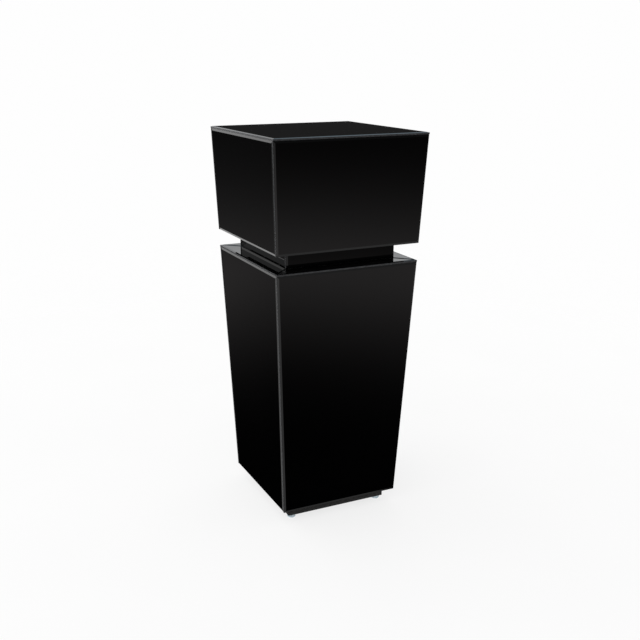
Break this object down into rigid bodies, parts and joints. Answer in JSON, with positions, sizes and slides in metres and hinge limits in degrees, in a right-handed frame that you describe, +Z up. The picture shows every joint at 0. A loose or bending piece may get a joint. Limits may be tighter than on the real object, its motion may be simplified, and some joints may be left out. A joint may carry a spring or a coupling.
{
  "type": "display plinth",
  "caption": "Free-standing square plinth of two tapering black-glass boxes joined by a recessed neck, on a recessed base with levelling feet, to show an object.",
  "frame": {"origin": "on the floor, under the middle of the plinth", "axes": "+Z up, -Y towards the front, +X to the right seen from the front"},
  "size_m": [0.381, 0.381, 0.9144],
  "materials": {
    "black_glass": "gloss black float glass, 5 mm, with a ground and polished bevel on its outer edges",
    "black_lacquer": "satin black lacquer on fibreboard",
    "fibreboard": "black-dyed fibreboard",
    "softwood": "sawn softwood",
    "foam_tape": "dark foam mirror tape",
    "zinc_steel": "bright zinc plate",
    "clear_nylon": "translucent, faintly blue, smooth"
  },
  "bodies": {
    "plinth": {"top_glass": "black_glass", "upper_front_glass": "black_glass", "upper_right_glass": "black_glass", "upper_back_glass": "black_glass", "upper_left_glass": "black_glass", "lower_front_glass": "black_glass", "lower_right_glass": "black_glass", "lower_back_glass": "black_glass", "lower_left_glass": "black_glass", "neck_front_glass": "black_glass", "neck_right_glass": "black_glass", "neck_back_glass": "black_glass", "neck_left_glass": "black_glass", "ledge_front_glass": "black_glass", "ledge_right_glass": "black_glass", "ledge_back_glass": "black_glass", "ledge_left_glass": "black_glass", "upper_bottom_board": "black_lacquer", "lower_bottom_board": "black_lacquer", "base_plate": "black_lacquer", "upper_front_board": "fibreboard", "upper_right_board": "fibreboard", "upper_back_board": "fibreboard", "upper_left_board": "fibreboard", "lower_front_board": "fibreboard", "lower_right_board": "fibreboard", "lower_back_board": "fibreboard", "lower_left_board": "fibreboard", "neck_front_board": "fibreboard", "neck_right_board": "fibreboard", "neck_back_board": "fibreboard", "neck_left_board": "fibreboard", "upper_top_board": "fibreboard", "lower_top_board": "fibreboard", "upper_corner_posts": "softwood", "lower_corner_posts": "softwood", "top_glass_tape": "foam_tape", "upper_glass_tape": "foam_tape", "lower_glass_tape": "foam_tape", "neck_glass_tape": "foam_tape", "ledge_glass_tape": "foam_tape", "neck_bolts": "zinc_steel", "neck_nuts": "zinc_steel", "neck_washers": "zinc_steel", "upper_bottom_screws": "zinc_steel", "lower_bottom_screws": "zinc_steel", "base_screws": "zinc_steel", "foot_inserts": "zinc_steel"},
    "pad_front_left": {"foot_pad_front_left": "clear_nylon"},
    "stud_front_left": {"foot_stud_front_left": "zinc_steel"},
    "pad_front_right": {"foot_pad_front_right": "clear_nylon"},
    "stud_front_right": {"foot_stud_front_right": "zinc_steel"},
    "pad_back_right": {"foot_pad_back_right": "clear_nylon"},
    "stud_back_right": {"foot_stud_back_right": "zinc_steel"},
    "pad_back_left": {"foot_pad_back_left": "clear_nylon"},
    "stud_back_left": {"foot_stud_back_left": "zinc_steel"}
  },
  "joints": [
    {"name": "foot_lift_front_left", "type": "slide", "parent": "plinth", "child": "pad_front_left", "axis": [0, 0, -1], "range_m": [0, 0.008]},
    {"name": "foot_turn_front_left", "type": "hinge", "parent": "pad_front_left", "child": "stud_front_left", "pos_m": [-0.116, -0.116, 0.003], "axis": [0, 0, -1], "range_deg": [0, 2880]},
    {"name": "foot_lift_front_right", "type": "slide", "parent": "plinth", "child": "pad_front_right", "axis": [0, 0, -1], "range_m": [0, 0.008]},
    {"name": "foot_turn_front_right", "type": "hinge", "parent": "pad_front_right", "child": "stud_front_right", "pos_m": [0.116, -0.116, 0.003], "axis": [0, 0, -1], "range_deg": [0, 2880]},
    {"name": "foot_lift_back_right", "type": "slide", "parent": "plinth", "child": "pad_back_right", "axis": [0, 0, -1], "range_m": [0, 0.008]},
    {"name": "foot_turn_back_right", "type": "hinge", "parent": "pad_back_right", "child": "stud_back_right", "pos_m": [0.116, 0.116, 0.003], "axis": [0, 0, -1], "range_deg": [0, 2880]},
    {"name": "foot_lift_back_left", "type": "slide", "parent": "plinth", "child": "pad_back_left", "axis": [0, 0, -1], "range_m": [0, 0.008]},
    {"name": "foot_turn_back_left", "type": "hinge", "parent": "pad_back_left", "child": "stud_back_left", "pos_m": [-0.116, 0.116, 0.003], "axis": [0, 0, -1], "range_deg": [0, 2880]}
  ],
  "couplings": [
    {"joint": "foot_turn_front_left", "follows": "foot_lift_front_left", "rad_per_m": 6283.2},
    {"joint": "foot_turn_front_right", "follows": "foot_lift_front_right", "rad_per_m": 6283.2},
    {"joint": "foot_turn_back_right", "follows": "foot_lift_back_right", "rad_per_m": 6283.2},
    {"joint": "foot_turn_back_left", "follows": "foot_lift_back_left", "rad_per_m": 6283.2}
  ]
}
